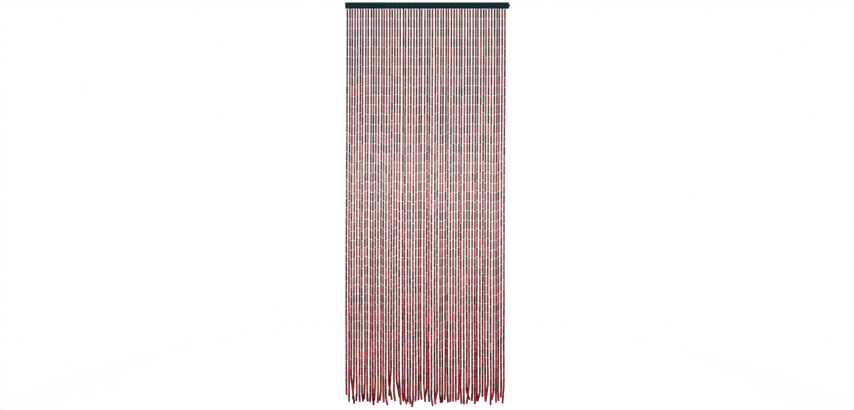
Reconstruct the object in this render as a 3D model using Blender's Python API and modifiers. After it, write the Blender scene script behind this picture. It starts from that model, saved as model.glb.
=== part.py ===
# Bead curtain: sixty strings of tube beads that hang from a grooved wooden rail.
# Units are metres, +Z is up, and the curtain faces -Y. The rail's back face is the plane Y = 0.
# The origin lies on that face, at the middle of the rail's length and height.

import math
import random

import bmesh
import bpy

# Rail: a straight lath with a groove along its underside
RAIL_LENGTH = 0.903
RAIL_HEIGHT = 0.028
RAIL_DEPTH = 0.022
RAIL_EDGE = 0.0012
RAIL_EDGE_STEPS = 2
GROOVE_WIDTH = 0.008
GROOVE_DEPTH = 0.008
STRAND_LINE = -0.012
SEAT_GAP = 0.0003

# Header strip: the narrow strip in the groove that every strand is fixed to
STRIP_THICKNESS = 0.006
STRIP_END_MARGIN = 0.002

# End peg: a domed peg in the rail's right-hand end
PEG_HEAD_RADIUS = 0.0046
PEG_HEAD_LENGTH = 0.0072
PEG_SHANK_RADIUS = 0.0020
PEG_SHANK_LENGTH = 0.0120
PEG_DOME_STEPS = 8
PEG_SIDES = 24
PEG_MERGE_DISTANCE = 0.00001

# Strands: strings of tube beads, joined end to end by wire links. The tubes' thickness at the top
# and at the hem is a share of the bead's radius, and the change gathers towards the hem.
STRAND_COUNT = 60
BEADS_PER_STRAND = 42
STRAND_PITCH = 0.01478
FIRST_STRAND_INSET = 0.0095
BEAD_RADIUS = 0.0048
THICKNESS_TOP = 0.94
THICKNESS_HEM = 1.24
THICKENING = 4
LINK_LENGTH = 0.0032
LINK_RADIUS = 0.0016
ROOT_DEPTH = 0.0045
FIRST_LINK_DROP = 0.0042
FIRST_LINK_SPREAD = 0.0030
MEAN_HANG = 2.186
WELD_DISTANCE = 0.000001

# The distance from link to link along a strand, from its top (0) to its tip (1)
PITCH_COLUMNS = ("way_down", "pitch")
PITCH_ROWS = (
    (0.00, 0.0526),
    (0.30, 0.0542),
    (1.00, 0.0484),
)
PITCHES = [dict(zip(PITCH_COLUMNS, row)) for row in PITCH_ROWS]

# No two strands match: the roots are unevenly spaced, some strands have their longer tubes
# at the top and others near the hem, and each tube is cut a little long or short
ROOT_SHIFT = 0.0020
LENGTH_TREND = 0.018
CUT_SPREAD = 0.0020

# Joints that the solid of a strand bends at: few where it hangs straight, each one near the hem
BENDING_JOINTS = (8, 16, 24, 31, 36, 38, 39, 40, 41, 42)

# How the strands wander: to the left as they fall, a little from side to side, and every
# second one forwards and the others backwards, so that the ones that cross at the hem stay apart.
# The forward ones also stand a little nearer the middle, because from three metres away, where
# the photo was taken, the spaces between the strands look equal.
DRIFT = -0.0060
DRIFT_DEPTH = 1.5
SIDE_SWAY = 0.0012
SLOW_WAVE_SHARE = 0.6
SLOW_WAVE_LENGTH = 1.1
QUICK_WAVE_SHARE = 0.4
QUICK_WAVE_LENGTH = 0.37
FRONT_REACH = 0.0075
BACK_REACH = 0.0055
REACH_LEAST = 0.90
REACH_MOST = 1.05
PARTING_EARLY = 0.60
PARTING_LATE = 0.72
PARTING_LENGTH = 0.20
VIEW_DISTANCE = 3.0
LOOSE_TIP_SHIFT = 0.0020
LOOSE_TIP_DROP = 0.0060
SWAY_SEED = 400

# The hem: strands whose tips lean or end away from the others.
# The shift is to the right and the drop is below the mean tip, both in millimetres.
HEM_COLUMNS = ("strand", "shift_mm", "drop_mm", "leaning_beads")
HEM_ROWS = (
    (0, 4, -38, 1),
    (2, 17, 10, 3),
    (3, -7, -10, 3),
    (6, 7, -3, 1),
    (7, -4, -10, 2),
    (10, 6, 18, 1),
    (11, -7, -2, 2),
    (13, -7, -2, 1),
    (15, 7, 23, 1),
    (16, 17, -12, 2),
    (17, -14, -29, 3),
    (18, 6, -4, 1),
    (19, 15, -20, 2),
    (20, 7, 16, 3),
    (21, 7, 1, 1),
    (22, 10, 13, 1),
    (24, 1, 12, 1),
    (25, -5, 33, 1),
    (28, 4, -12, 1),
    (29, 9, 4, 2),
    (30, -6, -27, 1),
    (32, 6, 23, 1),
    (33, 6, 18, 1),
    (34, -10, -8, 1),
    (35, 6, 10, 1),
    (42, -2, -11, 1),
    (43, 2, 15, 2),
    (44, 0, 13, 1),
    (45, 18, -8, 1),
    (46, -14, 10, 2),
    (48, 1, 13, 1),
    (50, -14, -4, 1),
    (51, 0, -24, 1),
    (53, -11, -1, 2),
    (54, -1, 18, 1),
    (55, -7, -6, 1),
    (58, -4, -24, 1),
    (59, -7, 13, 2),
)
HEM = {row[0]: dict(zip(HEM_COLUMNS, row)) for row in HEM_ROWS}

# Finishes: base colour and roughness
FINISH_COLUMNS = ("color", "roughness")
FINISH_ROWS = {
    "painted_rail": ((0.008, 0.021, 0.027), 0.45),
    "dark_peg": ((0.008, 0.011, 0.012), 0.50),
    "lacquered_beads": ((0.165, 0.036, 0.040), 0.35),
}

# Places that follow from the sizes
RAIL_LEFT = -RAIL_LENGTH / 2
RAIL_RIGHT = RAIL_LENGTH / 2
RAIL_UNDERSIDE = -RAIL_HEIGHT / 2
GROOVE_ROOF = RAIL_UNDERSIDE + GROOVE_DEPTH
STRIP_TOP = GROOVE_ROOF - SEAT_GAP
STRIP_BOTTOM = STRIP_TOP - STRIP_THICKNESS
FIRST_LINK_Z = RAIL_UNDERSIDE - FIRST_LINK_DROP
CUT_MARGIN = 0.005
MM = 0.001
QUARTER_TURN = math.radians(90)


def clear_scene():
    for item in list(bpy.data.objects):
        bpy.data.objects.remove(item, do_unlink=True)


def new_collection(name):
    collection = bpy.data.collections.new(name)
    bpy.context.scene.collection.children.link(collection)
    return collection


def move_to(item, collection):
    for owner in list(item.users_collection):
        owner.objects.unlink(item)
    collection.objects.link(item)


def material(name):
    look = dict(zip(FINISH_COLUMNS, FINISH_ROWS[name]))
    finish = bpy.data.materials.new(name)
    finish.use_nodes = True
    shader = finish.node_tree.nodes["Principled BSDF"]
    shader.inputs["Base Color"].default_value = (*look["color"], 1.0)
    shader.inputs["Roughness"].default_value = look["roughness"]
    shader.inputs["Metallic"].default_value = 0.0
    return finish


def hide_as_cutter(item, collection):
    item.hide_render = True
    item.display_type = "WIRE"
    move_to(item, collection)


def box(name, low, high):
    """A box between two corners, with its scale applied."""
    size = [top - bottom for bottom, top in zip(low, high)]
    middle = [(top + bottom) / 2 for bottom, top in zip(low, high)]
    bpy.ops.mesh.primitive_cube_add(size=1, location=middle, scale=size)
    bpy.ops.object.transform_apply(location=False, rotation=False, scale=True)
    item = bpy.context.object
    item.name = name
    return item


def boolean(item, operation, other):
    modifier = item.modifiers.new(other.name, "BOOLEAN")
    modifier.operation = operation
    modifier.solver = "EXACT"
    modifier.object = other


def make_rail(parts, cutters):
    rail = box(
        "rail",
        (RAIL_LEFT, -RAIL_DEPTH, -RAIL_HEIGHT / 2),
        (RAIL_RIGHT, 0, RAIL_HEIGHT / 2),
    )
    rounding = rail.modifiers.new("eased edges", "BEVEL")
    rounding.width = RAIL_EDGE
    rounding.segments = RAIL_EDGE_STEPS
    groove = box(
        "groove_cutter",
        (RAIL_LEFT - CUT_MARGIN, STRAND_LINE - GROOVE_WIDTH / 2, RAIL_UNDERSIDE - CUT_MARGIN),
        (RAIL_RIGHT + CUT_MARGIN, STRAND_LINE + GROOVE_WIDTH / 2, GROOVE_ROOF),
    )
    hole_start = RAIL_RIGHT - PEG_SHANK_LENGTH - SEAT_GAP
    hole_end = RAIL_RIGHT + CUT_MARGIN
    bpy.ops.mesh.primitive_cylinder_add(
        vertices=PEG_SIDES,
        radius=PEG_SHANK_RADIUS + SEAT_GAP,
        depth=hole_end - hole_start,
        location=((hole_start + hole_end) / 2, -RAIL_DEPTH / 2, 0),
        rotation=(0, QUARTER_TURN, 0),
    )
    hole = bpy.context.object
    hole.name = "peg_hole_cutter"
    for cutter in (groove, hole):
        boolean(rail, "DIFFERENCE", cutter)
        hide_as_cutter(cutter, cutters)
    rail.data.materials.append(material("painted_rail"))
    move_to(rail, parts)


def peg_profile():
    """Half the peg's outline as (radius, height on its axis), from the dome to the shank's end."""
    outline = []
    for step in range(PEG_DOME_STEPS + 1):
        turn = QUARTER_TURN * step / PEG_DOME_STEPS
        outline.append((PEG_HEAD_RADIUS * math.sin(turn), PEG_HEAD_LENGTH * math.cos(turn)))
    outline.append((PEG_SHANK_RADIUS, 0.0))
    outline.append((PEG_SHANK_RADIUS, -PEG_SHANK_LENGTH))
    outline.append((0.0, -PEG_SHANK_LENGTH))
    return outline


def make_end_peg(parts):
    outline = bmesh.new()
    points = [outline.verts.new((radius, 0, height)) for radius, height in peg_profile()]
    for upper, lower in zip(points, points[1:]):
        outline.edges.new((upper, lower))
    mesh = bpy.data.meshes.new("end_peg")
    outline.to_mesh(mesh)
    outline.free()
    peg = bpy.data.objects.new("end_peg", mesh)
    turning = peg.modifiers.new("turned", "SCREW")
    turning.steps = PEG_SIDES
    turning.render_steps = PEG_SIDES
    turning.use_merge_vertices = True
    turning.merge_threshold = PEG_MERGE_DISTANCE
    peg.location = (RAIL_RIGHT + SEAT_GAP, -RAIL_DEPTH / 2, 0)
    peg.rotation_euler = (0, QUARTER_TURN, 0)
    mesh.materials.append(material("dark_peg"))
    parts.objects.link(peg)


def smooth_step(value):
    value = min(max(value, 0.0), 1.0)
    return value * value * (3 - 2 * value)


def pitch_at(way_down):
    """The distance between links at this share of the way down, between the rows of the table."""
    for upper, lower in zip(PITCHES, PITCHES[1:]):
        if way_down <= lower["way_down"]:
            break
    share = (way_down - upper["way_down"]) / (lower["way_down"] - upper["way_down"])
    return upper["pitch"] + (lower["pitch"] - upper["pitch"]) * share


def joint_heights(drop, draw):
    """Heights of a strand's joints, from the rail to its tip."""
    trend = draw.uniform(-LENGTH_TREND, LENGTH_TREND)
    pitches = []
    for bead in range(BEADS_PER_STRAND):
        way_down = bead / (BEADS_PER_STRAND - 1)
        pitch = pitch_at(way_down) * (1 + trend * (1 - 2 * way_down))
        pitches.append(pitch + draw.uniform(-CUT_SPREAD, CUT_SPREAD))
    pitches[-1] -= LINK_LENGTH / 2
    first = FIRST_LINK_Z - draw.uniform(0, FIRST_LINK_SPREAD)
    stretch = (first + MEAN_HANG + drop) / sum(pitches)
    heights = [first]
    for pitch in pitches:
        heights.append(heights[-1] - pitch * stretch)
    return heights


def strand_joints(strand):
    """The points where a strand's beads are linked, from the rail down, and its tip."""
    draw = random.Random(SWAY_SEED + strand)
    slow_turn = draw.uniform(0, math.tau)
    quick_turn = draw.uniform(0, math.tau)
    shift = draw.uniform(-LOOSE_TIP_SHIFT, LOOSE_TIP_SHIFT)
    drop = draw.uniform(-LOOSE_TIP_DROP, LOOSE_TIP_DROP)
    leaning = 1
    if strand in HEM:
        shift = HEM[strand]["shift_mm"] * MM
        drop = HEM[strand]["drop_mm"] * MM
        leaning = HEM[strand]["leaning_beads"]
    reach = BACK_REACH if strand % 2 else -FRONT_REACH
    reach *= draw.uniform(REACH_LEAST, REACH_MOST)
    parting = draw.uniform(PARTING_EARLY, PARTING_LATE)
    even_root = RAIL_LEFT + FIRST_STRAND_INSET + strand * STRAND_PITCH
    root = even_root + draw.uniform(-ROOT_SHIFT, ROOT_SHIFT)
    points = []
    for joint, height in enumerate(joint_heights(drop, draw)):
        way_down = joint / BEADS_PER_STRAND
        sway = SLOW_WAVE_SHARE * math.sin(slow_turn - height * math.tau / SLOW_WAVE_LENGTH)
        sway += QUICK_WAVE_SHARE * math.sin(quick_turn - height * math.tau / QUICK_WAVE_LENGTH)
        across = root + DRIFT * smooth_step(-height / DRIFT_DEPTH)
        across += SIDE_SWAY * sway * way_down
        parted = reach * smooth_step((way_down - parting) / PARTING_LENGTH)
        across += across * parted / VIEW_DISTANCE
        points.append([across, STRAND_LINE + parted, height])
    lean_start = points[-1 - leaning][0]
    tip = even_root + DRIFT + shift
    for step in range(1, leaning + 1):
        points[-1 - leaning + step][0] = lean_start + (tip - lean_start) * step / leaning
    return points


def bead_radius(joint):
    """The radius of the tubes at a joint. They are thicker towards the hem."""
    way_down = (joint / BEADS_PER_STRAND) ** THICKENING
    return BEAD_RADIUS * (THICKNESS_TOP + (THICKNESS_HEM - THICKNESS_TOP) * way_down)


def strand_route(strand):
    """Points and radii of a strand's solid: a thin root in the strip, then the string of beads."""
    joints = strand_joints(strand)
    across, depth, top = joints[0]
    route = [
        ((across, depth, STRIP_BOTTOM + ROOT_DEPTH), LINK_RADIUS),
        ((across, depth, top), LINK_RADIUS),
        ((across, depth, top - LINK_LENGTH / 2), bead_radius(0)),
    ]
    route += [(joints[joint], bead_radius(joint)) for joint in BENDING_JOINTS]
    return route


def strand_tubes():
    """One mesh of sixty four-sided tubes with closed ends."""
    curve = bpy.data.curves.new("strand_tubes", "CURVE")
    curve.dimensions = "3D"
    curve.twist_mode = "MINIMUM"
    curve.bevel_depth = BEAD_RADIUS
    curve.bevel_resolution = 0
    curve.use_fill_caps = True
    for strand in range(STRAND_COUNT):
        route = strand_route(strand)
        spline = curve.splines.new("POLY")
        spline.points.add(len(route) - 1)
        for point, (place, radius) in zip(spline.points, route):
            point.co = (*place, 1)
            point.radius = radius / BEAD_RADIUS
    guide = bpy.data.objects.new("strand_curve", curve)
    bpy.context.scene.collection.objects.link(guide)
    bpy.context.view_layer.update()
    graph = bpy.context.evaluated_depsgraph_get()
    mesh = bpy.data.meshes.new_from_object(guide.evaluated_get(graph), depsgraph=graph)
    tubes = bpy.data.objects.new("strand_tubes", mesh)
    tubes.matrix_world = guide.matrix_world
    bpy.context.scene.collection.objects.link(tubes)
    bpy.data.objects.remove(guide, do_unlink=True)
    welded = bmesh.new()
    welded.from_mesh(mesh)
    bmesh.ops.remove_doubles(welded, verts=welded.verts, dist=WELD_DISTANCE)
    bmesh.ops.recalc_face_normals(welded, faces=welded.faces)
    welded.to_mesh(mesh)
    welded.free()
    return tubes


def make_strands(parts, cutters):
    half_width = GROOVE_WIDTH / 2 - SEAT_GAP
    strands = box(
        "strands",
        (RAIL_LEFT + STRIP_END_MARGIN, STRAND_LINE - half_width, STRIP_BOTTOM),
        (RAIL_RIGHT - STRIP_END_MARGIN, STRAND_LINE + half_width, STRIP_TOP),
    )
    lacquer = material("lacquered_beads")
    strands.data.materials.append(lacquer)
    tubes = strand_tubes()
    tubes.data.materials.clear()
    tubes.data.materials.append(lacquer)
    boolean(strands, "UNION", tubes)
    hide_as_cutter(tubes, cutters)
    move_to(strands, parts)


def main():
    clear_scene()
    parts = new_collection("bead_curtain")
    cutters = new_collection("cutters")
    cutters.hide_render = True
    make_rail(parts, cutters)
    make_end_peg(parts)
    make_strands(parts, cutters)


main()
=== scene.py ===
# %% [markdown]
# # A bead curtain on a wooden rail
# The real curtain is sixty strings of short stained bamboo tubes. Thin wire eyes link each tube to the
# next, and every string hangs from a strip in the groove under a painted rail. Its solids come in as a
# fixed frame: the rail, the strands and a small end peg. Here each of them gets its fine form and finish.

# %% Load the frame
import math
import random

import bmesh
import bpy
from mathutils import Euler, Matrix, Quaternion, Vector


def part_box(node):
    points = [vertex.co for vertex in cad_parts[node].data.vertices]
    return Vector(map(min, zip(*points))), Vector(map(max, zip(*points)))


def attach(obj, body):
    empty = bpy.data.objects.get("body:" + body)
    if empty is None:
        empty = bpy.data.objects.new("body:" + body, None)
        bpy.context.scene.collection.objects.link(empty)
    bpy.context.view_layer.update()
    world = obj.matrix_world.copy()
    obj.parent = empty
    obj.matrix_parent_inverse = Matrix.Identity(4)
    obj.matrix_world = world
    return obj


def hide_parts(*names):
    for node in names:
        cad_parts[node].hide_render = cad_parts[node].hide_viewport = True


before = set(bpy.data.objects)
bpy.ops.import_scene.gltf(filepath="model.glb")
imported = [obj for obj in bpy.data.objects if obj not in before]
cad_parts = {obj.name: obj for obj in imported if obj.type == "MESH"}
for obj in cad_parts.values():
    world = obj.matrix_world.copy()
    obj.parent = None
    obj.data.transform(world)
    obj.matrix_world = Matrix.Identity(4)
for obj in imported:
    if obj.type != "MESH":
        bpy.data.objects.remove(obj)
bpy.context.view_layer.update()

MM = 0.001
WHITE = (1, 1, 1, 1)
QUARTER_TURN = math.radians(90)
HALF_TURN = math.radians(180)
rail_low, rail_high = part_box("rail")
strands_low, strands_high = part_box("strands")
peg_low, peg_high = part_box("end_peg")
print("rail", rail_low, rail_high)
print("strands", strands_low, strands_high)

# %% [markdown]
# ## Camera
# The photograph looks straight at the curtain from the middle of its height, from about as far away as
# one stands in a room to take in a doorway. The rail tells the scale: its 903 mm fill 164 of the 854
# pixels across, and a little of its underside shows, which fixes the distance at three metres.

# %% Camera
PHOTO_WIDTH_PX = 854
PHOTO_MIDDLE_Y_PX = 205
RAIL_WIDTH_PX = 164.05
RAIL_TOP_Y_PX = 2.30
CAMERA_DISTANCE = 3.0
CAMERA_X = -0.0007
SENSOR_WIDTH = 36.0

metres_per_pixel = (rail_high[0] - rail_low[0]) / RAIL_WIDTH_PX
frame_width = PHOTO_WIDTH_PX * metres_per_pixel
camera_height = rail_high[2] - (PHOTO_MIDDLE_Y_PX - RAIL_TOP_Y_PX) * metres_per_pixel
camera_data = bpy.data.cameras.new("front camera")
camera_data.sensor_width = SENSOR_WIDTH
camera_data.lens = SENSOR_WIDTH * CAMERA_DISTANCE / frame_width
camera = bpy.data.objects.new("front camera", camera_data)
camera.location = (CAMERA_X, rail_low[1] - CAMERA_DISTANCE, camera_height)
camera.rotation_euler = (QUARTER_TURN, 0, 0)  # upright, looking along +Y
bpy.context.scene.collection.objects.link(camera)
bpy.context.scene.camera = camera
print("lens", round(camera_data.lens, 2), "mm at height", round(camera_height, 3))

# %% [markdown]
# ## Studio
# The backdrop in the photograph is plain white. A white world does that for the camera, and lights the
# beads only dimly, so that most of their light comes from soft boxes. Image planes or a lit studio model
# would do as well, but area lights are quick and easy to aim: a wide box in front, a little above the
# camera, a high one that lights the rail's top, two weak fills, and one behind for the backs and the floor.

# %% White world
WORLD_LIGHT = 0.15
PRINT_GAMMA = 0.70


def studio_world():
    world = bpy.data.worlds.new("white studio")
    world.use_nodes = True
    tree = world.node_tree
    tree.nodes.clear()
    seen = tree.nodes.new("ShaderNodeBackground")
    lighting = tree.nodes.new("ShaderNodeBackground")
    lighting.inputs["Strength"].default_value = WORLD_LIGHT
    for backdrop in (seen, lighting):
        backdrop.inputs["Color"].default_value = WHITE
    path = tree.nodes.new("ShaderNodeLightPath")
    either = tree.nodes.new("ShaderNodeMixShader")
    out = tree.nodes.new("ShaderNodeOutputWorld")
    tree.links.new(path.outputs["Is Camera Ray"], either.inputs[0])
    tree.links.new(lighting.outputs[0], either.inputs[1])
    tree.links.new(seen.outputs[0], either.inputs[2])
    tree.links.new(either.outputs[0], out.inputs["Surface"])
    bpy.context.scene.world = world


studio_world()
bpy.context.scene.view_settings.view_transform = "Standard"
bpy.context.scene.view_settings.gamma = PRINT_GAMMA
print("world:", bpy.context.scene.world.name)

# %% Soft boxes
BOX_COLUMNS = ("name", "place", "target", "width", "height", "power")
FRONT_TARGET = (0, 0, camera_height)
FLOOR_TARGET = (0, 1.2, strands_low[2])
BOX_ROWS = (
    ("front box", (0, -3.6, camera_height + 0.42), FRONT_TARGET, 2.8, 0.8, 110),
    ("high box", (0, -2.6, camera_height + 2.6), FRONT_TARGET, 3.0, 1.0, 58),
    ("left fill", (-3.2, -1.6, camera_height + 0.3), FRONT_TARGET, 1.2, 2.4, 8),
    ("right fill", (3.2, -1.6, camera_height + 0.3), FRONT_TARGET, 1.2, 2.4, 8),
    ("back box", (0, 1.6, 1.5), FLOOR_TARGET, 3.6, 2.4, 170),
)


def soft_box(name, place, target, width, height, power):
    """A rectangular area light that faces a target point."""
    data = bpy.data.lights.new(name, "AREA")
    data.shape = "RECTANGLE"
    data.size = width
    data.size_y = height
    data.energy = power
    lamp = bpy.data.objects.new(name, data)
    lamp.location = place
    lamp.rotation_euler = (Vector(target) - Vector(place)).to_track_quat("-Z", "Y").to_euler()
    bpy.context.scene.collection.objects.link(lamp)


for row in BOX_ROWS:
    soft_box(**dict(zip(BOX_COLUMNS, row)))
print("lights:", [row[0] for row in BOX_ROWS])

# %% Floor
FLOOR_GAP = 0.06
FLOOR_SIZE = 16.0
floor_height = strands_low[2] - FLOOR_GAP
bpy.ops.object.select_all(action="DESELECT")
bpy.ops.mesh.primitive_plane_add(size=FLOOR_SIZE, location=(0, 0, floor_height))
floor = bpy.context.object
floor.name = "floor"
print("floor at", round(floor_height, 3))

# %% [markdown]
# ## Writing shaders as sums
# A finish is easier to read as a formula than as a web of nodes. The small class below wraps one number
# in a material, so that adding, subtracting or multiplying it in Python adds the Math node that does it.
# Every other node comes from one method, which takes its kind, its settings and its inputs.


# %% A number in a shader
class Number:
    """One number socket of a material. Operators on it add Math nodes."""

    def __init__(self, finish, socket):
        self.finish = finish
        self.socket = socket

    def math(self, operation, first, second):
        settings = {"operation": operation}
        return self.finish.node("ShaderNodeMath", settings, {0: first, 1: second})

    def __add__(self, other):
        return self.math("ADD", self, other)

    __radd__ = __add__

    def __sub__(self, other):
        return self.math("SUBTRACT", self, other)

    def __rsub__(self, other):
        return self.math("SUBTRACT", other, self)

    def __mul__(self, other):
        return self.math("MULTIPLY", self, other)

    __rmul__ = __mul__


print("operators: +, - and *")


# %% A material and its nodes
class Finish:
    """A material with one Principled shader, and the ways to feed it."""

    def __init__(self, name, **constants):
        self.material = bpy.data.materials.new(name)
        self.material.use_nodes = True
        self.tree = self.material.node_tree
        self.shader = self.tree.nodes["Principled BSDF"]
        for socket, value in constants.items():
            self.shader.inputs[socket.replace("_", " ")].default_value = value

    def feed(self, socket, value):
        if isinstance(value, Number):
            self.tree.links.new(value.socket, socket)
        else:
            socket.default_value = value

    def node(self, kind, settings=None, inputs=None, output=0):
        """A node of this kind: its settings first, then its inputs, as values or links."""
        made = self.tree.nodes.new(kind)
        for name, value in (settings or {}).items():
            setattr(made, name, value)
        for name, value in (inputs or {}).items():
            self.feed(made.inputs[name], value)
        return Number(self, made.outputs[output])

    def set(self, name, value):
        self.feed(self.shader.inputs[name], value)

    def place(self, stretch):
        """Object coordinates, stretched along each axis."""
        where = self.node("ShaderNodeTexCoord", output="Object")
        return self.node("ShaderNodeVectorMath", {"operation": "MULTIPLY"}, {0: where, 1: stretch})

    def noise(self, stretch, detail=2.0, roughness=0.5):
        inputs = {"Vector": self.place(stretch), "Scale": 1.0, "Detail": detail, "Roughness": roughness}
        return self.node("ShaderNodeTexNoise", {}, inputs)

    def ramp(self, value, low, high):
        """The value's stretch from low to high, as 0 to 1."""
        inputs = {"Value": value, "From Min": low, "From Max": high}
        return self.node("ShaderNodeMapRange", {"clamp": True}, inputs)

    def mix(self, factor, first, second):
        """A colour between two colours. Inputs 6 and 7 of the Mix node are its colours, output 2 is too."""
        inputs = {0: factor, 6: (*first, 1), 7: (*second, 1)}
        return self.node("ShaderNodeMix", {"data_type": "RGBA"}, inputs, output=2)

    def bump(self, height, depth, strength=1.0):
        inputs = {"Height": height, "Distance": depth, "Strength": strength}
        self.set("Normal", self.node("ShaderNodeBump", {}, inputs))


print("shader helper ready")

# %% [markdown]
# ## Finishes
# The tubes are bamboo, so fine straight fibres run along them under the stain. Each tube has its own
# stain colour, and a pale painted sheen is added over it in place of the soft box's reflection in the
# lacquer; the tube carries both as one colour attribute. The lacquer is glossy and uneven, and thinner
# at the cut ends, where the stain soaked in and went darker.

# %% Lacquered bamboo
lacquer = Finish("lacquered_bamboo", Specular_IOR_Level=0.12, Coat_Roughness=0.2)
# The tube's stain colour, with the painted sheen already added to it.
stain = lacquer.node("ShaderNodeAttribute", {"attribute_name": "stain"}, output="Color")
fibre = lacquer.noise((1500, 1500, 45), detail=3.0)
cloudy = lacquer.noise((160, 160, 70), detail=1.0)
wrap = lacquer.node("ShaderNodeUVMap", {"uv_map": "tube_wrap"})
along = lacquer.node("ShaderNodeSeparateXYZ", {}, {0: wrap}, output="Y")
from_middle = lacquer.node("ShaderNodeMath", {"operation": "ABSOLUTE"}, {0: along - 0.5})
near_end = lacquer.ramp(from_middle, 0.44, 0.5)
streaks = lacquer.ramp(fibre, 0.35, 0.7)
depth = 1.35 - streaks * 0.6 - near_end * 0.35
toned = lacquer.node("ShaderNodeVectorMath", {"operation": "SCALE"}, {0: stain, "Scale": depth})
lacquer.set("Base Color", toned)
lacquer.set("Roughness", 0.32 + streaks * 0.14 + near_end * 0.15)
lacquer.set("Coat Weight", 0.04 + lacquer.ramp(cloudy, 0.3, 0.7) * 0.12)
lacquer.bump(fibre, 0.0003, 0.5)
print("lacquered bamboo:", len(lacquer.tree.nodes), "nodes")

# %% [markdown]
# The cut ends show raw bamboo with the stain soaked in. The bore is closed by a shallow cap, whose
# near-black finish is painted shade for the hollow inside. The wire is plain drawn steel, a little dulled.
# The rail is wood under near-black teal paint, through which the grain shows as faint lines along it.
# Each finish is noise, stretched the way the real grain or scratches run: an image would need a map of
# the surface, and noise on the object's own coordinates needs none.

# %% Cut bamboo, and painted shade for the bore
RAW_BAMBOO = (0.16, 0.075, 0.05)
SOAKED_BAMBOO = (0.05, 0.02, 0.018)
# Painted shade: the near-black cap stands in for the dark hollow of the bore.
BORE_SHADE_DARK = (0.010, 0.005, 0.004)
BORE_SHADE_PALE = (0.022, 0.012, 0.010)

cut_end = Finish("cut_bamboo", Roughness=0.6)
pores = cut_end.noise((2600, 2600, 400), detail=2.0)
cut_end.set("Base Color", cut_end.mix(cut_end.ramp(pores, 0.4, 0.62), RAW_BAMBOO, SOAKED_BAMBOO))
cut_end.bump(pores, 0.0002, 0.6)

bore_painted_shade = Finish("tube_bore", Roughness=0.9)
bore_painted_shade.set("Base Color", bore_painted_shade.mix(bore_painted_shade.noise((900, 900, 900)), BORE_SHADE_DARK, BORE_SHADE_PALE))
print("cut bamboo and bore ready")

# %% Wire
WIRE_BRIGHT = (0.82, 0.79, 0.76)
WIRE_DULL = (0.55, 0.52, 0.50)

wire = Finish("link_wire", Metallic=1.0)
dulled = wire.noise((700, 700, 700), detail=2.0)
wire.set("Base Color", wire.mix(wire.ramp(dulled, 0.4, 0.7), WIRE_BRIGHT, WIRE_DULL))
wire.set("Roughness", 0.38 + wire.ramp(dulled, 0.3, 0.7) * 0.25)
print("wire ready")

# %% Painted rail
PAINT_DEEP = (0.0052, 0.0310, 0.0430)
PAINT_THIN = (0.0105, 0.0460, 0.0600)

rail_paint = Finish("rail_paint", Specular_IOR_Level=0.12)
grain = rail_paint.noise((6, 380, 380), detail=4.0, roughness=0.6)
fine_grain = rail_paint.noise((30, 1800, 1800), detail=2.0)
grain_lines = rail_paint.ramp(grain, 0.42, 0.6)
rail_paint.set("Base Color", rail_paint.mix(grain_lines, PAINT_DEEP, PAINT_THIN))
rail_paint.set("Roughness", 0.42 + grain_lines * 0.14)
rail_paint.bump(grain * 0.7 + fine_grain * 0.3, 0.0005, 0.5)
print("rail paint:", len(rail_paint.tree.nodes), "nodes")

# %% Strip and peg
STRIP_DARK = (0.070, 0.042, 0.040)
STRIP_PALE = (0.130, 0.085, 0.075)
PEG_DARK = (0.006, 0.009, 0.010)
PEG_PALE = (0.012, 0.016, 0.017)

strip_wood = Finish("strip_wood", Roughness=0.7)
strip_grain = strip_wood.noise((8, 500, 500), detail=3.0)
strip_wood.set("Base Color", strip_wood.mix(strip_wood.ramp(strip_grain, 0.35, 0.65), STRIP_DARK, STRIP_PALE))
strip_wood.bump(strip_grain, 0.0004, 0.4)

peg_paint = Finish("dark_peg", Specular_IOR_Level=0.3)
turned_lines = peg_paint.noise((2500, 300, 300), detail=2.0)
peg_paint.set("Base Color", peg_paint.mix(peg_paint.ramp(turned_lines, 0.4, 0.6), PEG_DARK, PEG_PALE))
peg_paint.set("Roughness", 0.4 + turned_lines * 0.2)
peg_paint.bump(turned_lines, 0.0002, 0.4)
print("strip and peg ready")

# %% Floor that fades out
FLOOR_COLOR = (0.95, 0.95, 0.95, 1)
FADE_START = 0.6
FADE_END = 2.6

floor_white = Finish("floor_white", Roughness=0.85, Specular_IOR_Level=0.1)
floor_white.set("Base Color", FLOOR_COLOR)
centred = floor_white.node("ShaderNodeTexCoord", output="Object")
distance = floor_white.node("ShaderNodeVectorMath", {"operation": "LENGTH"}, {0: centred}, output="Value")
floor_white.set("Alpha", 1.0 - floor_white.ramp(distance, FADE_START, FADE_END))
floor.data.materials.append(floor_white.material)
print("finishes:", [m.name for m in bpy.data.materials])

# %% [markdown]
# ## Modelling by hand, in code
# Each piece starts as a primitive of its real size and is shaped in edit mode. An operator acts on all
# that is selected, so everything is deselected first, and faces and edges are chosen by their place.


# %% Choosing what to edit
SAME_PLACE = MM / 10
LEVEL_NORMAL = 0.99
SLOPING_NORMAL = 0.9


def take(item):
    """Makes this object the only selected one, and the active one."""
    bpy.ops.object.select_all(action="DESELECT")
    item.select_set(True)
    bpy.context.view_layer.objects.active = item


def edit(item):
    take(item)
    bpy.ops.object.mode_set(mode="EDIT")
    bpy.ops.mesh.select_all(action="DESELECT")


def select(item, kind, wanted):
    """Selects the faces, edges or verts of the edited mesh that the test wants, and no others."""
    bpy.ops.mesh.select_mode(type={"verts": "VERT", "edges": "EDGE", "faces": "FACE"}[kind])
    bpy.ops.mesh.select_all(action="DESELECT")
    shape = bmesh.from_edit_mesh(item.data)
    for element in getattr(shape, kind):
        if wanted(element):
            element.select_set(True)
    shape.select_flush_mode()
    bmesh.update_edit_mesh(item.data)


print("selection helpers ready")


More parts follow.
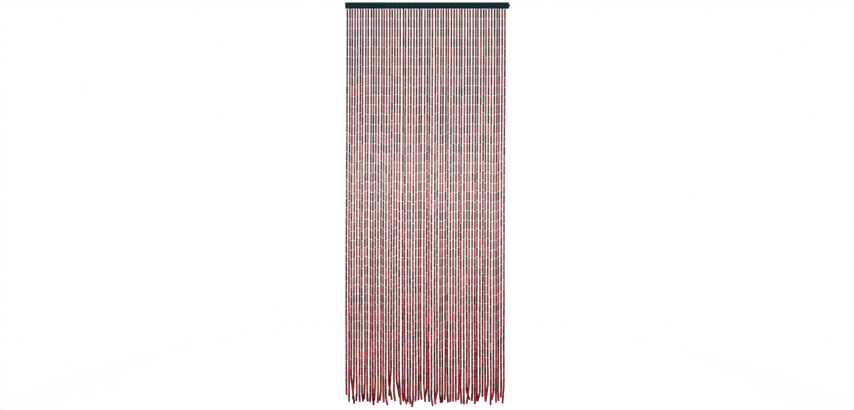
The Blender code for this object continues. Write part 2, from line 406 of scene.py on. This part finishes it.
# %% Finishing a piece
def done(item, name, *finishes, smooth=40):
    """Leaves edit mode with outward normals, smooth shading and the given finishes."""
    bpy.ops.mesh.select_all(action="SELECT")
    bpy.ops.mesh.normals_make_consistent(inside=False)
    bpy.ops.object.mode_set(mode="OBJECT")
    bpy.ops.object.shade_smooth_by_angle(angle=math.radians(smooth))
    item.name = name
    item.data.name = name
    item.data.materials.clear()
    for finish in finishes:
        item.data.materials.append(finish.material)
    return item


def apply_place(item):
    take(item)
    bpy.ops.object.transform_apply(location=True, rotation=True, scale=True)


def modify(item, kind, **settings):
    """Adds a modifier with these settings and applies it."""
    modifier = item.modifiers.new(kind.lower(), kind)
    for name, value in settings.items():
        setattr(modifier, name, value)
    take(item)
    bpy.ops.object.modifier_apply(modifier=modifier.name)


print("modelling helpers ready")

# %% [markdown]
# ## One tube bead
# A tube is a ten-sided cylinder, since on ten millimetres across more sides would not show. Its rims are
# bevelled, as after a tumble polish, and each end is inset to leave the wall round a shallow cap in the
# bore, finished near-black as painted shade for the hollow. A map called tube_wrap runs round the tube
# and along it, so that the finish knows where the ends are.

# %% Model the tube
PITCH = 51.1 * MM
LINK_LENGTH = 3.2 * MM
TUBE_LENGTH = PITCH - LINK_LENGTH
TUBE_RADIUS = 4.8 * MM
TUBE_SIDES = 10
TUBE_WALL = 1.9 * MM
RIM_BEVEL = 0.5 * MM
BORE_RECESS = 0.5 * MM


def model_tube():
    bpy.ops.object.select_all(action="DESELECT")
    bpy.ops.mesh.primitive_cylinder_add(vertices=TUBE_SIDES, radius=TUBE_RADIUS, depth=TUBE_LENGTH)
    tube = bpy.context.object
    edit(tube)
    half = TUBE_LENGTH / 2
    select(tube, "edges", lambda e: all(abs(abs(v.co.z) - half) < SAME_PLACE for v in e.verts))
    bpy.ops.mesh.bevel(offset=RIM_BEVEL, segments=1, affect="EDGES")
    select(tube, "faces", lambda f: abs(f.normal.z) > LEVEL_NORMAL)
    bpy.ops.mesh.inset(thickness=TUBE_WALL, depth=-BORE_RECESS)
    done(tube, "tube", lacquer, cut_end, bore_painted_shade)
    for face in tube.data.polygons:
        radius = Vector(face.center[:2]).length
        # Slot 2 is the cap in the bore, finished near-black as painted shade for the hollow.
        if abs(face.normal.z) > SLOPING_NORMAL:
            face.material_index = 1 if radius > TUBE_RADIUS / 10 else 2
    wrap = tube.data.uv_layers.new(name="tube_wrap")
    for face in tube.data.polygons:
        turns = []
        for loop in face.loop_indices:
            point = tube.data.vertices[tube.data.loops[loop].vertex_index].co
            turns.append(math.atan2(point.y, point.x) / math.tau % 1.0)
        for loop, turn in zip(face.loop_indices, turns):
            point = tube.data.vertices[tube.data.loops[loop].vertex_index].co
            if max(turns) - min(turns) > 0.5 and turn < 0.5:
                turn += 1.0
            wrap.data[loop].uv = (turn, point.z / TUBE_LENGTH + 0.5)
    return tube


tube = model_tube()
print("tube:", len(tube.data.polygons), "faces")

# %% [markdown]
# ## One wire eye
# A small wire eye stands out of each end of a tube. The lower eye of one tube passes through the upper eye
# of the next, at right angles, so a joint shows about three millimetres of wire and air. The eye is a ring
# of drawn wire, pinched together where it enters the bore. It is modelled with the joint at its origin.

# %% Model the eye
WIRE_RADIUS = 0.38 * MM
EYE_RADIUS = 1.0 * MM
EYE_REACH = EYE_RADIUS - WIRE_RADIUS
PINCH = 0.5


def model_eye():
    """The eye at the upper end of a tube. Its ring reaches a little above the joint."""
    bpy.ops.object.select_all(action="DESELECT")
    bpy.ops.mesh.primitive_torus_add(
        major_segments=8,
        minor_segments=4,
        major_radius=EYE_RADIUS,
        minor_radius=WIRE_RADIUS,
        location=(0, 0, -EYE_REACH),
        rotation=(QUARTER_TURN, 0, 0),
    )
    eye = bpy.context.object
    apply_place(eye)
    edit(eye)
    neck = -EYE_REACH - EYE_RADIUS / 2
    select(eye, "verts", lambda v: v.co.z < neck)
    bpy.ops.transform.resize(value=(PINCH, PINCH, 1.0), center_override=(0, 0, neck))
    bpy.ops.transform.translate(value=(0, 0, -(LINK_LENGTH / 2 + neck - WIRE_RADIUS)))
    return done(eye, "eye", wire, smooth=80)


eye = model_eye()
print("eye:", len(eye.data.polygons), "faces")

# %% [markdown]
# ## Where the strands hang
# Each strand is a chain of forty-two stiff tubes. No two tubes are cut quite to the same length, so the
# joints line up near the rail and lose step further down. Physics could drop the chains, but a formula keeps
# them where the photograph has them. A strand drifts a little to the left as it falls and sways by about a
# millimetre. Low down, neighbours part, one forwards and one backwards, so those that cross at the
# hem pass each other. The forward ones also stand a little nearer the middle, which makes the spaces look
# equal from the camera. The hem's table holds what the photograph shows there: how far a tip lies to the
# right, how far it ends below the mean, in millimetres, and how many tubes lean to get it there.

# %% Lengths along a strand
STRAND_COUNT = 60
BEADS_PER_STRAND = 42
FIRST_LINK_DROP = 4.2 * MM
FIRST_LINK_SPREAD = 3.0 * MM
MEAN_HANG = 2.186
LENGTH_TREND = 0.018
CUT_SPREAD = 2.0 * MM
PITCH_COLUMNS = ("way_down", "pitch")
PITCH_ROWS = ((0.00, 52.6 * MM), (0.30, 54.2 * MM), (1.00, 48.4 * MM))
rail_underside = rail_low[2]
first_link_z = rail_underside - FIRST_LINK_DROP


def between(columns, rows, at):
    """A table's other columns where its first one would be this, on straight lines between rows."""
    for (start, *first), (stop, *second) in zip(rows, rows[1:]):
        if at <= stop:
            break
    way = (at - start) / (stop - start)
    return {name: low + (high - low) * way for name, low, high in zip(columns[1:], first, second)}


def joint_heights(drop, draw):
    """Heights of a strand's joints, from the rail to its tip."""
    trend = draw.uniform(-LENGTH_TREND, LENGTH_TREND)
    pitches = []
    for place in range(BEADS_PER_STRAND):
        way_down = place / (BEADS_PER_STRAND - 1)
        pitch = between(PITCH_COLUMNS, PITCH_ROWS, way_down)["pitch"] * (1 + trend * (1 - 2 * way_down))
        pitches.append(pitch + draw.uniform(-CUT_SPREAD, CUT_SPREAD))
    pitches[-1] -= LINK_LENGTH / 2
    first = first_link_z - draw.uniform(0, FIRST_LINK_SPREAD)
    stretch = (first + MEAN_HANG + drop) / sum(pitches)
    heights = [first]
    for pitch in pitches:
        heights.append(heights[-1] - pitch * stretch)
    return heights


print("first joints at most", round(first_link_z, 4), "m high")

# %% The hem in the photograph
HEM_COLUMNS = ("strand", "shift_mm", "drop_mm", "leaning_beads")
HEM_ROWS = (
    (0, 4, -38, 1),
    (2, 17, 10, 3),
    (3, -7, -10, 3),
    (6, 7, -3, 1),
    (7, -4, -10, 2),
    (10, 6, 18, 1),
    (11, -7, -2, 2),
    (13, -7, -2, 1),
    (15, 7, 23, 1),
    (16, 17, -12, 2),
    (17, -14, -29, 3),
    (18, 6, -4, 1),
    (19, 15, -20, 2),
    (20, 7, 16, 3),
    (21, 7, 1, 1),
    (22, 10, 13, 1),
    (24, 1, 12, 1),
    (25, -5, 33, 1),
    (28, 4, -12, 1),
    (29, 9, 4, 2),
    (30, -6, -27, 1),
    (32, 6, 23, 1),
    (33, 6, 18, 1),
    (34, -10, -8, 1),
    (35, 6, 10, 1),
    (42, -2, -11, 1),
    (43, 2, 15, 2),
    (44, 0, 13, 1),
    (45, 18, -8, 1),
    (46, -14, 10, 2),
    (48, 1, 13, 1),
    (50, -14, -4, 1),
    (51, 0, -24, 1),
    (53, -11, -1, 2),
    (54, -1, 18, 1),
    (55, -7, -6, 1),
    (58, -4, -24, 1),
    (59, -7, 13, 2),
)
HEM = {row[0]: dict(zip(HEM_COLUMNS, row)) for row in HEM_ROWS}
print("tips that lean or end away from the others:", len(HEM))

# %% Paths of the strands
STRAND_PITCH = 14.78 * MM
FIRST_STRAND_INSET = 9.5 * MM
STRAND_LINE = -12.0 * MM
ROOT_SHIFT = 2.0 * MM
DRIFT = -6.0 * MM
DRIFT_DEPTH = 1.5
SIDE_SWAY = 1.2 * MM
SLOW_WAVE_SHARE = 0.6
SLOW_WAVE_LENGTH = 1.1
QUICK_WAVE_SHARE = 0.4
QUICK_WAVE_LENGTH = 0.37
FRONT_REACH = 7.5 * MM
BACK_REACH = 5.5 * MM
REACH_LEAST = 0.90
REACH_MOST = 1.05
PARTING_EARLY = 0.60
PARTING_LATE = 0.72
PARTING_LENGTH = 0.20
LOOSE_TIP_SHIFT = 2.0 * MM
LOOSE_TIP_DROP = 6.0 * MM
SWAY_SEED = 400


def smooth_step(value):
    value = min(max(value, 0.0), 1.0)
    return value * value * (3 - 2 * value)


def strand_joints(strand):
    """The points where a strand's beads are linked, from the rail down, and its tip."""
    draw = random.Random(SWAY_SEED + strand)
    slow_turn = draw.uniform(0, math.tau)
    quick_turn = draw.uniform(0, math.tau)
    shift = draw.uniform(-LOOSE_TIP_SHIFT, LOOSE_TIP_SHIFT)
    drop = draw.uniform(-LOOSE_TIP_DROP, LOOSE_TIP_DROP)
    leaning = 1
    if strand in HEM:
        shift = HEM[strand]["shift_mm"] * MM
        drop = HEM[strand]["drop_mm"] * MM
        leaning = HEM[strand]["leaning_beads"]
    reach = BACK_REACH if strand % 2 else -FRONT_REACH
    reach *= draw.uniform(REACH_LEAST, REACH_MOST)
    parting = draw.uniform(PARTING_EARLY, PARTING_LATE)
    even_root = rail_low[0] + FIRST_STRAND_INSET + strand * STRAND_PITCH
    root = even_root + draw.uniform(-ROOT_SHIFT, ROOT_SHIFT)
    points = []
    for joint, height in enumerate(joint_heights(drop, draw)):
        way_down = joint / BEADS_PER_STRAND
        sway = SLOW_WAVE_SHARE * math.sin(slow_turn - height * math.tau / SLOW_WAVE_LENGTH)
        sway += QUICK_WAVE_SHARE * math.sin(quick_turn - height * math.tau / QUICK_WAVE_LENGTH)
        across = root + DRIFT * smooth_step(-height / DRIFT_DEPTH)
        across += SIDE_SWAY * sway * way_down
        parted = reach * smooth_step((way_down - parting) / PARTING_LENGTH)
        across += across * parted / CAMERA_DISTANCE
        points.append([across, STRAND_LINE + parted, height])
    lean_start = points[-1 - leaning][0]
    tip = even_root + DRIFT + shift
    for step in range(1, leaning + 1):
        points[-1 - leaning + step][0] = lean_start + (tip - lean_start) * step / leaning
    return [Vector(point) for point in points]


joints = [strand_joints(strand) for strand in range(STRAND_COUNT)]
print("lowest tip", round(min(path[-1].z for path in joints), 4), "m")

# %% [markdown]
# ## Stains and painted sheen
# The photograph shows wine, plum, brick, rust, olive and near-black tubes, mixed at random along each
# string. A ramp over a noise could pick their colours, but then they couldn't be weighed: here each kind of
# stain is given once, with how common it is at the top and at the hem. A tube takes one of them and varies
# in depth, as dyed bamboo does. A pale painted sheen is added over the stain, strongest in the middle of the
# curtain, in place of the front soft box's reflection in the glossy lacquer. The second table says how much
# of the stain and of this painted sheen there is at each distance below the rail.

# %% Kinds of stain
STAIN_COLUMNS = ("name", "color", "share_top", "share_hem")
STAIN_ROWS = (
    ("wine", (0.150, 0.008, 0.020), 16, 26),
    ("plum", (0.085, 0.008, 0.028), 14, 16),
    ("oxblood", (0.115, 0.009, 0.010), 18, 20),
    ("brick", (0.205, 0.030, 0.018), 10, 14),
    ("cherry", (0.195, 0.009, 0.020), 3, 13),
    ("rust", (0.245, 0.072, 0.030), 5, 6),
    ("olive", (0.105, 0.038, 0.020), 9, 3),
    ("charcoal", (0.046, 0.012, 0.018), 12, 4),
    ("dusty mauve", (0.170, 0.035, 0.070), 7, 4),
)
STAINS = [dict(zip(STAIN_COLUMNS, row)) for row in STAIN_ROWS]
print("stains:", [row["name"] for row in STAINS])

# %% Tone and painted sheen by height
# After the height come how much of the stain shows, how much tubes vary in depth, and a painted sheen. The
# sheen is a pale colour added over the stain in place of the front soft box's reflection in the lacquer,
# strongest in the middle of the curtain. Less stain shows near the top, so the tubes come out darker and
# deeper towards the hem.
TONE_AND_SHEEN_COLUMNS = ("drop", "stain_kept", "depth_spread", "painted_sheen_red", "painted_sheen_green", "painted_sheen_blue")
TONE_AND_SHEEN_ROWS = (
    (0.00, 0.38, 0.52, 0.112, 0.046, 0.048),
    (0.55, 0.44, 0.58, 0.142, 0.046, 0.049),
    (0.95, 0.42, 0.50, 0.226, 0.107, 0.114),
    (1.25, 0.52, 0.46, 0.177, 0.064, 0.068),
    (1.60, 0.80, 0.42, 0.124, 0.038, 0.041),
    (1.80, 0.94, 0.42, 0.114, 0.024, 0.027),
    (1.95, 1.14, 0.40, 0.074, 0.008, 0.010),
    (2.30, 1.26, 0.40, 0.062, 0.008, 0.010),
)


def draw_stain_and_sheen(draw, height):
    way_down = -height / MEAN_HANG
    shares = [row["share_top"] * (1 - way_down) + row["share_hem"] * way_down for row in STAINS]
    kind = draw.choices(STAINS, weights=shares)[0]
    tone = between(TONE_AND_SHEEN_COLUMNS, TONE_AND_SHEEN_ROWS, -height)
    depth = 1 + draw.uniform(-tone["depth_spread"], tone["depth_spread"])
    # The painted sheen: a pale colour added over the stain in place of the lacquer's reflection of the front
    # soft box.
    painted_sheen = (tone["painted_sheen_red"], tone["painted_sheen_green"], tone["painted_sheen_blue"])
    return [depth * (tone["stain_kept"] * deep + sheen_part) for deep, sheen_part in zip(kind["color"], painted_sheen)] + [1.0]


print("tones at", [row[0] for row in TONE_AND_SHEEN_ROWS], "m below the rail's middle")

# %% [markdown]
# ## Threading
# Thousands of beads are too many to place as objects. Geometry Nodes does it instead: a mesh of points, one
# at each bead's middle, carries the bead's turn, size, and its stain with the painted sheen, and the nodes
# set a copy of the bead on every point and make them real. Three strands go into one piece. The tubes get
# thicker towards the hem, and each one is turned a little on its string, as loose beads are.


# %% Threading nodes
def threading_nodes(copied):
    """Geometry nodes that set a real copy of an object on each point."""
    tree = bpy.data.node_groups.new("threading " + copied.name, "GeometryNodeTree")
    for way in ("INPUT", "OUTPUT"):
        tree.interface.new_socket("Geometry", in_out=way, socket_type="NodeSocketGeometry")
    start = tree.nodes.new("NodeGroupInput")
    end = tree.nodes.new("NodeGroupOutput")
    model = tree.nodes.new("GeometryNodeObjectInfo")
    model.inputs["Object"].default_value = copied
    set_out = tree.nodes.new("GeometryNodeInstanceOnPoints")
    turn = tree.nodes.new("GeometryNodeInputNamedAttribute")
    size = tree.nodes.new("GeometryNodeInputNamedAttribute")
    for read, name in ((turn, "turn"), (size, "size")):
        read.data_type = "FLOAT_VECTOR"
        read.inputs["Name"].default_value = name
    to_rotation = tree.nodes.new("FunctionNodeEulerToRotation")
    make_real = tree.nodes.new("GeometryNodeRealizeInstances")
    link = tree.links.new
    link(start.outputs[0], set_out.inputs["Points"])
    link(model.outputs["Geometry"], set_out.inputs["Instance"])
    link(turn.outputs["Attribute"], to_rotation.inputs[0])
    link(to_rotation.outputs[0], set_out.inputs["Rotation"])
    link(size.outputs["Attribute"], set_out.inputs["Scale"])
    link(set_out.outputs[0], make_real.inputs[0])
    link(make_real.outputs[0], end.inputs[0])
    return tree


print("threading nodes ready")


# %% A piece from rows of copies
def thread(name, nodes, rows):
    """A piece made of one copy for each row of place, turn, size, and stain with its painted sheen."""
    mesh = bpy.data.meshes.new(name)
    mesh.from_pydata([row["place"] for row in rows], [], [])
    for label in ("turn", "size"):
        layer = mesh.attributes.new(label, "FLOAT_VECTOR", "POINT")
        layer.data.foreach_set("vector", [x for row in rows for x in row[label]])
    # The colour attribute holds the stain with its painted sheen.
    layer = mesh.attributes.new("stain", "FLOAT_COLOR", "POINT")
    layer.data.foreach_set("color", [x for row in rows for x in row["stain"]])
    piece = bpy.data.objects.new(name, mesh)
    bpy.context.scene.collection.objects.link(piece)
    modify(piece, "NODES", node_group=nodes)
    for label in ("turn", "size"):
        if label in piece.data.attributes:
            piece.data.attributes.remove(piece.data.attributes[label])
    return piece


print("thread ready")

# %% Rows of beads
STAIN_SEED = 77
WIDTH_LEAST = 0.97
WIDTH_MOST = 1.03
THICKNESS_TOP = 0.94
THICKNESS_HEM = 1.24
THICKENING = 4
TWIST_JITTER = math.radians(18)
root_turns = [0.0] * STRAND_COUNT


def bead_rows(strand, draw):
    """One row for each bead. The first eye's turn is kept for the staple that holds it."""
    rows = []
    base_twist = draw.uniform(0, math.tau)
    root_turns[strand] = base_twist + QUARTER_TURN
    path = joints[strand]
    for place, (upper, lower) in enumerate(zip(path, path[1:])):
        run = upper - lower
        if place == BEADS_PER_STRAND - 1:
            run = run * (1 + LINK_LENGTH / 2 / run.length)
        middle_point = upper - run / 2
        twist = base_twist + draw.uniform(-TWIST_JITTER, TWIST_JITTER)
        turned = run.to_track_quat("Z", "Y") @ Quaternion((0, 0, 1), twist)
        way_down = (place / BEADS_PER_STRAND) ** THICKENING
        width = draw.uniform(WIDTH_LEAST, WIDTH_MOST)
        width *= THICKNESS_TOP + (THICKNESS_HEM - THICKNESS_TOP) * way_down
        rows.append(
            {
                "place": middle_point,
                "turn": turned.to_euler(),
                "size": (width, width, run.length / PITCH),
                "stain": draw_stain_and_sheen(draw, middle_point.z),
            }
        )
    return rows


all_rows = [bead_rows(strand, random.Random(STAIN_SEED + strand)) for strand in range(STRAND_COUNT)]
print("beads:", sum(len(rows) for rows in all_rows))

# %% Thread the beads
STRANDS_PER_PIECE = 3
nodes = threading_nodes(tube)
pieces = []
for first in range(0, STRAND_COUNT, STRANDS_PER_PIECE):
    rows = sum(all_rows[first : first + STRANDS_PER_PIECE], [])
    name = f"strands_{first + 1:02d}_to_{first + STRANDS_PER_PIECE:02d}"
    piece = thread(name, nodes, rows)
    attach(piece, "root")
    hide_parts("strands")
    pieces.append(piece)
print(len(pieces), "pieces of strands,", sum(len(p.data.polygons) for p in pieces), "faces")
bpy.data.objects.remove(tube, do_unlink=True)

# %% Rows of eyes
PLAIN = {"size": (1, 1, 1), "stain": WHITE}


def eye_rows(rows):
    """The upper and lower eye of each tube. The lower one is the upper one turned over."""
    eyes = []
    for row in rows:
        turned = Euler(row["turn"]).to_quaternion()
        half = turned @ Vector((0, 0, PITCH / 2 * row["size"][2]))
        over = turned @ Quaternion((1, 0, 0), HALF_TURN) @ Quaternion((0, 0, 1), QUARTER_TURN)
        eyes.append({"place": row["place"] + half, "turn": row["turn"], **PLAIN})
        eyes.append({"place": row["place"] - half, "turn": over.to_euler(), **PLAIN})
    return eyes


print("each bead has two eyes")

# %% Thread the eyes
LINKED_PER_PIECE = 20
nodes = threading_nodes(eye)
for first in range(0, STRAND_COUNT, LINKED_PER_PIECE):
    rows = eye_rows(sum(all_rows[first : first + LINKED_PER_PIECE], []))
    links = thread(f"links_{first + 1:02d}_to_{first + LINKED_PER_PIECE:02d}", nodes, rows)
    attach(links, "root")
    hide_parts("strands")
    print(links.name, len(links.data.polygons), "faces")
bpy.data.objects.remove(eye, do_unlink=True)

# %% [markdown]
# ## The strip in the groove
# Every strand is stapled to a narrow strip of wood that sits in the groove, and only its underside shows.
# The staples could go straight into the rail, but a strip can be filled on a bench and then slid in. It is a
# long thin box with its edges eased.

# %% Model the strip
GROOVE_WIDTH = 8.0 * MM
GROOVE_DEPTH = 8.0 * MM
SEAT_GAP = 0.3 * MM
STRIP_THICKNESS = 6.0 * MM
STRIP_END_MARGIN = 2.0 * MM
STRIP_EDGE = 0.6 * MM
strip_top = rail_underside + GROOVE_DEPTH - SEAT_GAP
strip_bottom = strip_top - STRIP_THICKNESS
bpy.ops.object.select_all(action="DESELECT")
bpy.ops.mesh.primitive_cube_add(
    size=1,
    location=(0, STRAND_LINE, strip_bottom + STRIP_THICKNESS / 2),
    scale=(
        rail_high[0] - rail_low[0] - 2 * STRIP_END_MARGIN,
        GROOVE_WIDTH - 2 * SEAT_GAP,
        STRIP_THICKNESS,
    ),
)
strip = bpy.context.object
apply_place(strip)
edit(strip)
bpy.ops.mesh.select_all(action="SELECT")
bpy.ops.mesh.bevel(offset=STRIP_EDGE, segments=2, affect="EDGES")
done(strip, "header_strip", strip_wood)
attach(strip, "root")
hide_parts("strands")
print("strip from", round(strip_bottom, 4), "to", round(strip_top, 4))

# %% [markdown]
# ## Staples
# A wire staple comes down from the strip for each strand, and the top eye of the first tube hangs in it.
# These are the small pale dots along the underside of the rail in the photograph. A staple starts as a ring
# of thicker wire than the eyes', and its upper half is pulled up into two straight legs, which keeps the bend
# round. The strands start at slightly different heights, so each copy is stretched to reach the strip.

# %% Model one staple
STAPLE_BITE = 1.5 * MM
STAPLE_WIRE = 0.65 * MM
STAPLE_RADIUS = 2.0 * MM
STAPLE_REACH = STAPLE_RADIUS - STAPLE_WIRE
bpy.ops.object.select_all(action="DESELECT")
bpy.ops.mesh.primitive_torus_add(
    major_segments=12,
    minor_segments=5,
    major_radius=STAPLE_RADIUS,
    minor_radius=STAPLE_WIRE,
    location=(0, 0, STAPLE_REACH),
    rotation=(QUARTER_TURN, 0, 0),
)
staple = bpy.context.object
apply_place(staple)
edit(staple)
select(staple, "verts", lambda v: v.co.z > STAPLE_REACH + SAME_PLACE)
staple_end = strip_bottom + STAPLE_BITE
leg = staple_end - (first_link_z + STAPLE_REACH)
bpy.ops.transform.translate(value=(0, 0, leg))
done(staple, "staple", wire, smooth=80)
print("staple:", len(staple.data.polygons), "faces")

# %% Set the staples
rows = []
for strand in range(STRAND_COUNT):
    place = joints[strand][0]
    stretch = (staple_end - place.z) / (staple_end - first_link_z)
    turn = (0, 0, root_turns[strand])
    rows.append({"place": place, "turn": turn, "size": (1, 1, stretch), "stain": WHITE})
staples = thread("staples", threading_nodes(staple), rows)
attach(staples, "root")
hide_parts("strands")
bpy.data.objects.remove(staple, do_unlink=True)
print("staples:", len(staples.data.polygons), "faces")

# %% [markdown]
# ## The peg in the end of the rail
# The peg is turned, with a domed head. A profile spun round its axis would make it too, but this way shows
# how a face can be grown: it starts as a thin cylinder, the shank. Its outer face is widened to the head, and
# then drawn out in small steps that follow the dome.

# %% Model the peg
PEG_SIDES = 32
PEG_SHANK_RADIUS = 2.0 * MM
PEG_SHANK_LENGTH = 12.0 * MM
PEG_DOME_STEPS = 12
head_radius = (peg_high[2] - peg_low[2]) / 2
head_length = peg_high[0] - (peg_low[0] + PEG_SHANK_LENGTH)
bpy.ops.object.select_all(action="DESELECT")
bpy.ops.mesh.primitive_cylinder_add(
    vertices=PEG_SIDES,
    radius=PEG_SHANK_RADIUS,
    depth=PEG_SHANK_LENGTH,
    location=(0, 0, -PEG_SHANK_LENGTH / 2),
)
peg = bpy.context.object
apply_place(peg)
edit(peg)
select(peg, "faces", lambda f: f.normal.z > LEVEL_NORMAL)
bpy.ops.mesh.extrude_region_move()
widen = head_radius / PEG_SHANK_RADIUS
bpy.ops.transform.resize(value=(widen, widen, 1))
for step in range(1, PEG_DOME_STEPS):
    last_angle = QUARTER_TURN * (step - 1) / PEG_DOME_STEPS
    angle = QUARTER_TURN * step / PEG_DOME_STEPS
    rise = head_length * (math.sin(angle) - math.sin(last_angle))
    shrink = math.cos(angle) / math.cos(last_angle)
    bpy.ops.mesh.extrude_region_move(TRANSFORM_OT_translate={"value": (0, 0, rise)})
    bpy.ops.transform.resize(value=(shrink, shrink, 1))
bpy.ops.mesh.poke()
done(peg, "end_peg_turned", peg_paint, smooth=50)
peg.rotation_euler = (0, QUARTER_TURN, 0)
peg.location = (peg_low[0] + PEG_SHANK_LENGTH, (peg_low[1] + peg_high[1]) / 2, (peg_low[2] + peg_high[2]) / 2)
apply_place(peg)
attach(peg, "root")
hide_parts("end_peg")
print("peg:", len(peg.data.polygons), "faces, head", round(head_length, 4), "long")

# %% [markdown]
# ## The rail
# The rail's solid already has its groove, its eased edges and the hole for the peg, so it stays as it is and
# takes the painted wood finish.

# %% Paint the rail
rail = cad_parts["rail"]
rail.data.materials.clear()
rail.data.materials.append(rail_paint.material)
print("rail painted:", [m.name for m in rail.data.materials])
